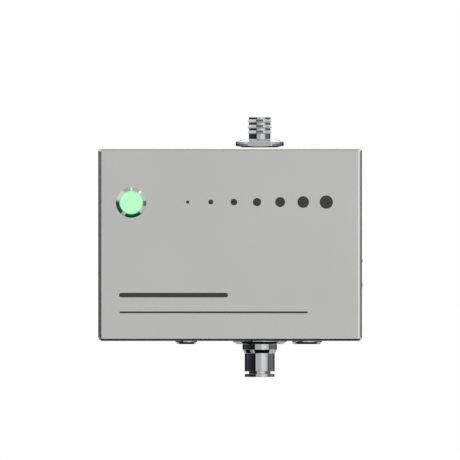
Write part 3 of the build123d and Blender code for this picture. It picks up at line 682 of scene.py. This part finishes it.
# %% The countersunk screws at the back
SUNK_HEAD = 3.0
rear_socket = hexagon(2.0)
sunk_profile = profile_of(
    [
        (0, -1.5, 0),
        (rear_socket, -1.5, 0.03),
        (rear_socket, -0.1, 0.08),
        (SUNK_HEAD, -0.1, 0.08),
        (1.45, -1.65, 0.1),
        (1.45, -10, 0.3),
        (0, -10, 0),
    ]
)
_, screw_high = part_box("rear_plate_screws")
screw_x = screw_high.x / MM - SUNK_HEAD
screw_z = screw_high.z / MM - SUNK_HEAD
screw_places = [(x, 0, z) for x in (-screw_x, 0, screw_x) for z in (-screw_z, screw_z)]
screw_points = [towards("rear", carried_round(rounded(sunk_profile))) + place for place in screw_places]
screws_mesh = mesh_from_grids("countersunk_screws", screw_points)
add_piece(screws_mesh, steel, "steel", "counter", "rear_plate_screws")

# %% [markdown]
# The counter hangs by four blind nuts pressed into its back. Each has a closed end, so
# dust can't enter the box through it, and a thread inside.

# %% The blind nuts
NUT_HEAD = 4.2
nut_profile = rounded(
    profile_of(
        [(0, -8.5, 0), (3.6, -8.5, 0.2), (NUT_HEAD, -7.9, 0.2), (NUT_HEAD, -3, 0.05)]
        + [(2.7, -3, 0.02), (2.7, 0, 0.05), (1.95, 0, 0.05)]
        + wall(1.65, -0.3, -7.4, 0.09)
        + [(1.65, -7.5, 0), (0, -7.5, 0)]
    )
)
nut_profile = thread(nut_profile, ROUND, 1.65, -7.4, -0.3, 0.7, 0.35)
_, nut_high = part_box("mount_inserts")
nut_x, nut_z = nut_high.x / MM - NUT_HEAD, nut_high.z / MM - NUT_HEAD
nut_places = [(x, 0, z) for x in (-nut_x, nut_x) for z in (-nut_z, nut_z)]
nut_points = [towards("rear", carried_round(nut_profile)) + place for place in nut_places]
add_piece(mesh_from_grids("blind_nuts", nut_points), steel, "steel", "counter", "mount_inserts")

# %% [markdown]
# ## The box
#
# The box is machined from solid metal, blasted with fine glass beads and clear anodised.
# Blasting leaves thousands of tiny dimples: too small to see one by one, they blur what
# the metal reflects and give the even satin grey. A high roughness alone looks like
# paint. A moderate roughness over a very fine bump keeps the metal's depth, and a slow
# change of tone, no more than a percent or two, keeps a large flat face from looking
# dead. The engineering model's own surface is exact here, so it only gets the finish.

# %% Bead-blasted metal
satin = finish("bead_blasted_metal", metallic=0.98)
mottle(satin, noise(satin, 18, 2), (0.720, 0.717, 0.711), (0.742, 0.738, 0.731))
spread(satin, noise(satin, 7000, 2), 0.20, 0.27, "Roughness")
relief(satin, noise(satin, 9000, 2), 1.2e-6)


def dress(material, *nodes):
    """Gives nodes of the frame their finish."""
    for node in nodes:
        frame["nodes"][node].material_slots[0].material = material
    print(material.name, "on", ", ".join(nodes))


dress(satin, "front_housing", "rear_plate")

# %% [markdown]
# ## Print on the front
#
# Instruments carry a name and a line or two of text, printed in dark ink. This one has
# plain marks in their places: a row of dots that grow like a scale of particle sizes,
# and two rules. Ink has a thickness that the eye can just catch at the edge, so each
# mark is a real pad a few hundredths of a millimetre thick. Every outline here is a
# rounded bar, a straight run with half a circle at each end, and a dot is a bar with no
# straight run.

# %% Ink marks
ink = finish("screen_ink", specular_ior_level=0.3)
mottle(ink, noise(ink, 900), (0.040, 0.040, 0.042), (0.050, 0.050, 0.052))
spread(ink, noise(ink, 2500), 0.5, 0.62, "Roughness")
INK = 0.02
PAD_ROUND = np.linspace(0, 2 * np.pi, 64, endpoint=False)


def mark(x, z, length, height):
    """A pad: the outline is a circle whose right half is moved right and left half left."""
    run = (length - height) / 2
    across = height / 2 * np.cos(PAD_ROUND) + run * np.sign(np.cos(PAD_ROUND) + 1e-9)
    upright = height / 2 * np.sin(PAD_ROUND)
    rows = []
    for size, depth in ((0, INK), (1, INK), (1, -INK), (0, -INK)):
        plane = np.full(PAD_ROUND.shape, FRONT - depth)
        rows.append(np.stack([x + size * across, plane, z + size * upright], axis=-1))
    return np.array(rows)


DOTS, DOTS_HIGH = 7, 20.3
dot_places = np.linspace(-20.4, 46.3, DOTS)
dot_sizes = np.linspace(1.6, 6.4, DOTS)
rules = (-27.25, -24.5, 52.5, 2.2), (-7.9, -32.8, 90.7, 0.9)  # x, z, length, height
marks = [mark(x, DOTS_HIGH, size, size) for x, size in zip(dot_places, dot_sizes)]
marks += [mark(*rule) for rule in rules]
add_piece(mesh_from_grids("front_print", marks), ink, "black_plastic", "counter")

# %% [markdown]
# ## What lies inside
#
# Nothing inside shows while the box is shut, yet each piece gets the finish of its
# material, so that a cut through the model still reads: black rubber, green board,
# black anodised optics, gold contacts, ruby orifice.

# %% Rubber, plastics and boards
rubber = finish("nitrile_rubber", specular_ior_level=0.3)
mottle(rubber, noise(rubber, 800), (0.018, 0.018, 0.018), (0.030, 0.030, 0.029))
spread(rubber, noise(rubber, 2000), 0.6, 0.8, "Roughness")
relief(rubber, noise(rubber, 3500), 8e-6)
seals = ["rear_gasket", "inlet_seal", "outlet_seal", "tube_seal", "lamp_seal", "power_socket_seal"]
dress(rubber, *seals, "data_socket_seal", "block_gasket", "tap_hoses")

sheath = finish("lead_sheath", specular_ior_level=0.45)
mottle(sheath, noise(sheath, 400), (0.030, 0.030, 0.032), (0.045, 0.045, 0.048))
spread(sheath, noise(sheath, 1500), 0.4, 0.55, "Roughness")
dress(sheath, "lamp_lead", "laser_lead", "power_lead", "data_lead", "sensor_lead")

moulding = finish("black_moulding")
mottle(moulding, noise(moulding, 700), (0.022, 0.022, 0.023), (0.032, 0.032, 0.033))
spread(moulding, noise(moulding, 3000), 0.38, 0.52, "Roughness")
relief(moulding, noise(moulding, 5000), 4e-6)
dress(moulding, "power_socket_insert", "data_socket_insert", "lamp_emitter")
dress(moulding, "board_chips", "detector_connector", "flow_sensor")

nylon = finish("white_nylon")
mottle(nylon, noise(nylon, 500), (0.78, 0.76, 0.70), (0.84, 0.82, 0.77))
spread(nylon, noise(nylon, 2500), 0.4, 0.5, "Roughness")
dress(nylon, "board_plugs")

solder_mask = finish("solder_mask", coat_weight=0.3, coat_roughness=0.15)
mottle(solder_mask, noise(solder_mask, 220), (0.014, 0.13, 0.055), (0.022, 0.17, 0.075))
spread(solder_mask, noise(solder_mask, 1200), 0.28, 0.4, "Roughness")
dress(solder_mask, "main_board", "detector_board")

# %% Metals inside
anodised = finish("black_anodised", metallic=0.4)
mottle(anodised, noise(anodised, 300), (0.016, 0.016, 0.018), (0.026, 0.026, 0.029))
spread(anodised, noise(anodised, 2500), 0.42, 0.55, "Roughness")
relief(anodised, noise(anodised, 6000), 3e-6)
dress(anodised, "optics_block", "beam_trap", "mirror_cap")

nuts = ["lamp_nut", "outlet_nut", "power_socket_nut", "data_socket_nut"]
dress(steel, *nuts, "board_screws", "detector_screws", "collet_guide", "sensor_bracket")
dress(steel, "inlet_jet", "collector_jet", "exhaust_tube")

brass = finish("turned_brass", metallic=1.0)
mottle(brass, noise(brass, 500), (0.72, 0.53, 0.24), (0.80, 0.60, 0.29))
spread(brass, noise(brass, 2000), 0.18, 0.3, "Roughness")
dress(brass, "board_standoffs", "laser_barrel")

gold = finish("gold_contacts", metallic=1.0)
mottle(gold, noise(gold, 900), (0.88, 0.64, 0.26), (0.94, 0.71, 0.33))
spread(gold, noise(gold, 2500), 0.12, 0.22, "Roughness")
dress(gold, "power_socket_contacts", "data_socket_contacts", "detector_cell", "laser_diode")

can_metal = finish("drawn_aluminium", metallic=1.0)
mottle(can_metal, noise(can_metal, 400, 3, (1, 1, 6)), (0.70, 0.70, 0.72), (0.80, 0.80, 0.82))
spread(can_metal, noise(can_metal, 1800), 0.2, 0.32, "Roughness")
dress(can_metal, "board_capacitors")

# %% Optics
silvered = finish("silvered_dish", metallic=1.0)
mottle(silvered, noise(silvered, 300), (0.90, 0.91, 0.92), (0.94, 0.95, 0.96))
spread(silvered, noise(silvered, 1200), 0.02, 0.05, "Roughness")
dress(silvered, "light_mirror")

lens_glass = finish("lens_glass", transmission_weight=1.0, ior=1.52)
mottle(lens_glass, noise(lens_glass, 200), (0.95, 0.97, 1.0), (0.98, 0.99, 1.0))
spread(lens_glass, noise(lens_glass, 1500), 0.0, 0.03, "Roughness")
dress(lens_glass, "beam_lens")

ruby = finish("ruby_orifice", transmission_weight=0.4, ior=1.76)
mottle(ruby, noise(ruby, 800), (0.45, 0.02, 0.05), (0.58, 0.03, 0.07))
spread(ruby, noise(ruby, 2000), 0.03, 0.08, "Roughness")
dress(ruby, "flow_orifice")

# %% [markdown]
# ## The floor
#
# The counter hangs on a wall, so the floor lies some way below it. It is a pale disc.

# %% A pale floor
floor_paint = finish("pale_floor", roughness=0.9, specular_ior_level=0.1)
mottle(floor_paint, noise(floor_paint, 6, 2), (0.90, 0.90, 0.90), (0.93, 0.93, 0.93))
FLOOR = -250.0
# (radius, height) from the middle out to the rim and back underneath
rings = np.array([[0, 0], [300, 0], [600, 0], [900, 0], [900, -1], [0, -1]], float)
floor_rows = carried_round(np.repeat(rings[:, None], len(ROUND), axis=1))
floor = bpy.data.objects.new("floor", mesh_from_grids("floor", [floor_rows + (0, 0, FLOOR)]))
floor.data.materials.append(floor_paint)
floor.visible_glossy = False
bpy.context.collection.objects.link(floor)
print("floor at", round(FLOOR, 1), "mm")

# %% [markdown]
# ## What the metal sees
#
# Plated metal has hardly any colour of its own. In a studio it is lit with cards: a pale
# one in front, a brighter strip to one side of it, dark ones where an edge has to show,
# and a bright tent over the top. Each card here is a patch of a sphere round the
# counter. It is given by the angles between which it stretches, seen from above with 0
# towards the camera and the right positive, and by its lowest and highest elevation.
# Cards show only in reflections: they neither light the object nor cast a shadow. Each
# hangs a centimetre nearer than the one before, so a later card covers an earlier one.

# %% Cards
def card_paint(name, tint):
    """Emission in one tint, as strong as the points' own level says."""
    paint = bpy.data.materials.new(name)
    paint.use_nodes = True
    nodes, links = paint.node_tree.nodes, paint.node_tree.links
    nodes.remove(nodes["Principled BSDF"])
    glow = nodes.new("ShaderNodeEmission")
    glow.inputs["Color"].default_value = (*tint, 1)
    level = nodes.new("ShaderNodeAttribute")
    level.attribute_name = "level"
    links.new(level.outputs["Fac"], glow.inputs["Strength"])
    links.new(glow.outputs["Emission"], nodes["Material Output"].inputs["Surface"])
    paint.cycles.emission_sampling = "NONE"
    return paint


COOL = card_paint("cool_card", (0.90, 0.98, 1.14))
NEUTRAL = card_paint("neutral_card", (1, 1, 1))
WARM = card_paint("warm_card", (1.02, 1.0, 0.95))
BLACK = 0.004  # the level of the darkest cards
ACROSS, UP = 25, 13  # points along a card's two sides
cards = []


def card(start, end, low, high, levels, paint=NEUTRAL):
    """A patch of a sphere: x = r cos e sin a, y = -r cos e cos a, z = r sin e.

    The level is one number, or runs evenly from the lower to the upper edge.
    """
    radius = 2.0 - 0.01 * len(cards)
    azimuths, elevations = np.linspace(start, end, ACROSS), np.linspace(low, high, UP)
    around, rise = np.meshgrid(np.radians(azimuths), np.radians(elevations))
    x, y, z = np.cos(rise) * np.sin(around), -np.cos(rise) * np.cos(around), np.sin(rise)
    mesh = bpy.data.meshes.new(f"card_{len(cards) + 1}")
    points = (radius * np.stack([x, y, z], axis=-1)).reshape(-1, 3)
    mesh.from_pydata(points.tolist(), [], grid_faces(UP, ACROSS, False, False).tolist())
    lower, upper = np.broadcast_to(levels, 2)
    level = mesh.attributes.new("level", "FLOAT", "POINT")
    level.data.foreach_set("value", np.repeat(np.linspace(lower, upper, UP), ACROSS))
    mesh.materials.append(paint)
    board = bpy.data.objects.new(mesh.name, mesh)
    bpy.context.collection.objects.link(board)
    board.visible_camera = board.visible_diffuse = board.visible_transmission = False
    board.visible_shadow = board.visible_volume_scatter = False
    cards.append(board)


# overhead, and behind from the horizon up
card(-180, 180, 60, 90, 1.35, WARM)
card(137, 223, 7, 60, 1.3, WARM)
card(137, 223, 7, 16, (0.1, 1.2))
# a greyer roof in front, with one bright window in it
card(-62, 62, 51, 73, 0.57, WARM)
card(-62, -32, 51, 73, 0.49, WARM)
card(-50, 45, 40, 57, 0.20, WARM)
card(-9, 9, 66, 80, 1.2, WARM)
card(56, 64, 43, 50, 1.45)
# the strips in front
for start, end, level in ((-31, 8, 0.63), (8, 18, 0.84), (18, 25, 1.08), (25, 46, 0.93)):
    card(start, end, -54, 40, level)
card(46, 61, -44, 40, 0.78)
print(len(cards), "cards above and in front")

# %% [markdown]
# The dark cards at the sides end just above the horizon and fade into the pale tent. An
# upright turned wall shows only what stands level with it, so it goes dark there, while
# anything that leans back a little catches the pale part. That contrast is what makes
# barbs and rims readable, and the fade draws out the barrel of the flange's rim.

# %% Sides, back and below
# left: pale, with dark cards level with the counter, and a black one next to the front
card(-140, -42, -42, 50, 0.91)
card(-142, -130, -10, 4, 0.015, COOL)
card(-130, -118, -10, 4, 0.038, COOL)
card(-118, -95, -10, 4, 0.068, COOL)
card(-95, -70, -46, 4, 0.038, COOL)
card(-70, -42, -46, 4, 0.024, COOL)
card(-142, -75, -28, -10, 0.5)
card(-74, -42, -46, -10, 0.02)
card(-42, -30.5, -54, 30, 0.006)
# right: the same in greys
card(61, 138, -14, 50, 0.76)
card(61, 138, -44, -14, 0.66)
card(61, 78, -14, 4, 0.172)
card(78, 97, -14, 4, 0.19)
card(97, 126, -14, 4, 0.205)
card(126, 140, -14, 4, 0.07, COOL)
# the fades just above the horizon, on both sides
fades = (42, 82, 2, 12, (0.05, 0.85)), (82, 112, 3, 15, (0.10, 0.80)), (112, 140, 4, 17, (0.08, 0.80))
for start, end, low, high, levels in fades:
    card(-end, -start, low, high, levels, COOL)
    card(max(start, 61), end, low, high, levels, COOL)
# low on the left
card(-126, -88, -46, -28, 0.006)
card(-66, -50, -59, -41, (0.60, 0.47))
card(-88, -66, -55, -42, 0.32)
card(-152, -126, -33, -12, 0.26)
# behind
card(138, 180, -7, 8, 0.07, COOL)
card(180, 219, -7, 8, 0.02, COOL)
card(138, 223, -41, -7, 0.52)
# below: black all round, lapped so that no seam shows
card(-180, 180, -90, -62, BLACK)
card(-50, 61, -67, -54, BLACK)
card(-90, -48, -67, -58.5, BLACK)
card(46, 272, -67, -44, BLACK)
card(138, 223, -44, -41, BLACK)
print(len(cards), "cards in all")

# %% [markdown]
# ## Lamps and world
#
# One big soft box hangs overhead and lights the tops. The world gives everything else an
# even light at about the level where a colour renders as it is written. The camera, and
# glossy and transmitted rays, see the world as plain white.

# %% Soft box
soft_box = bpy.data.lights.new("soft_box", "AREA")
soft_box.shape = "RECTANGLE"
soft_box.size, soft_box.size_y = 1.3, 1.3
soft_box.energy = 7.5
overhead = bpy.data.objects.new("soft_box", soft_box)
overhead.location = (0.0, 0.0, 1.0)
overhead.visible_glossy = False
bpy.context.collection.objects.link(overhead)

# %% World
world = bpy.data.worlds.new("studio")
bpy.context.scene.world = world
world.use_nodes = True
sky, links = world.node_tree.nodes, world.node_tree.links
even_light = sky["Background"]
even_light.inputs["Color"].default_value = (1, 1, 1, 1)
even_light.inputs["Strength"].default_value = 0.75
white = sky.new("ShaderNodeBackground")
white.inputs["Color"].default_value = (1, 1, 1, 1)
white.inputs["Strength"].default_value = 1.0
rays = sky.new("ShaderNodeLightPath")
either = sky.new("ShaderNodeMath")
either.operation = "MAXIMUM"
any_of = sky.new("ShaderNodeMath")
any_of.operation = "MAXIMUM"
choose = sky.new("ShaderNodeMixShader")
links.new(rays.outputs["Is Camera Ray"], either.inputs[0])
links.new(rays.outputs["Is Glossy Ray"], either.inputs[1])
links.new(either.outputs["Value"], any_of.inputs[0])
links.new(rays.outputs["Is Transmission Ray"], any_of.inputs[1])
links.new(any_of.outputs["Value"], choose.inputs["Fac"])
links.new(even_light.outputs["Background"], choose.inputs[1])
links.new(white.outputs["Background"], choose.inputs[2])
links.new(choose.outputs["Shader"], sky["World Output"].inputs["Surface"])
bpy.context.scene.view_settings.view_transform = "Standard"

# %% [markdown]
# ## The camera
#
# Seen square from the front without perspective, the box shows no top and no side, as on
# a drawing. An orthographic camera does that, and its scale is the width of the view.

# %% Camera
VIEW_WIDTH, PIXEL = 460, 0.4814  # the frame's width in pixels, and a pixel in millimetres
camera_data = bpy.data.cameras.new("camera")
camera_data.type = "ORTHO"
camera_data.ortho_scale = VIEW_WIDTH * PIXEL * MM
camera_data.clip_start, camera_data.clip_end = 0.01, 20.0
camera = bpy.data.objects.new("camera", camera_data)
camera.location = (-0.00005, -1.0, 0.00684)
camera.rotation_euler = (np.pi / 2, 0, 0)
bpy.context.collection.objects.link(camera)
bpy.context.scene.camera = camera
print("the view is", round(camera_data.ortho_scale, 4), "m wide")
